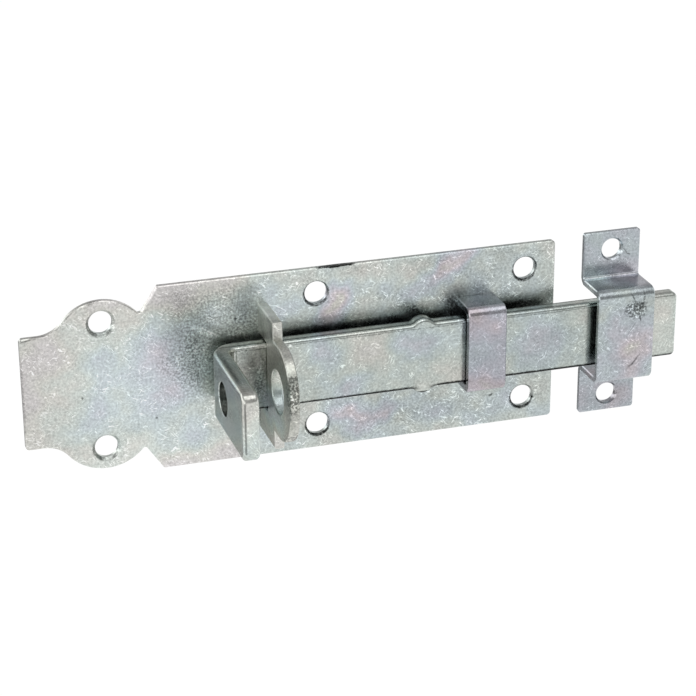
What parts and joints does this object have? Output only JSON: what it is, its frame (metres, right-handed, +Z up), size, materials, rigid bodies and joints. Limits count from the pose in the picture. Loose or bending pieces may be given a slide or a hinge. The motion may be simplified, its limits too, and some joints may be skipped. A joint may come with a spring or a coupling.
{
  "type": "sliding bolt",
  "caption": "Flat sliding bolt with a bent handle, a padlock eye and a guide strap on a base plate, with a separate hat-shaped keeper.",
  "frame": {"origin": "middle of the base plate's back face, which lies on the door", "axes": "+X along the bolt from its handle to its keeper, +Y into the door, +Z up across the plate"},
  "size_m": [0.2021, 0.0449, 0.0596],
  "materials": {
    "plate_zinc": "clear zinc plate, satin, mottled",
    "bolt_zinc": "clear zinc plate, satin, mottled",
    "eye_zinc": "clear zinc plate, satin, mottled",
    "strap_zinc": "clear zinc plate, satin, mottled",
    "keeper_zinc": "clear zinc plate, satin, mottled"
  },
  "bodies": {
    "fixed": {"base_plate": "plate_zinc", "padlock_eye": "eye_zinc", "guide_strap": "strap_zinc", "keeper": "keeper_zinc"},
    "slider": {"bolt": "bolt_zinc"}
  },
  "joints": [
    {"name": "bolt_slide", "type": "slide", "parent": "fixed", "child": "slider", "axis": [1, 0, 0], "range_m": [-0.0425, 0.0094]}
  ]
}
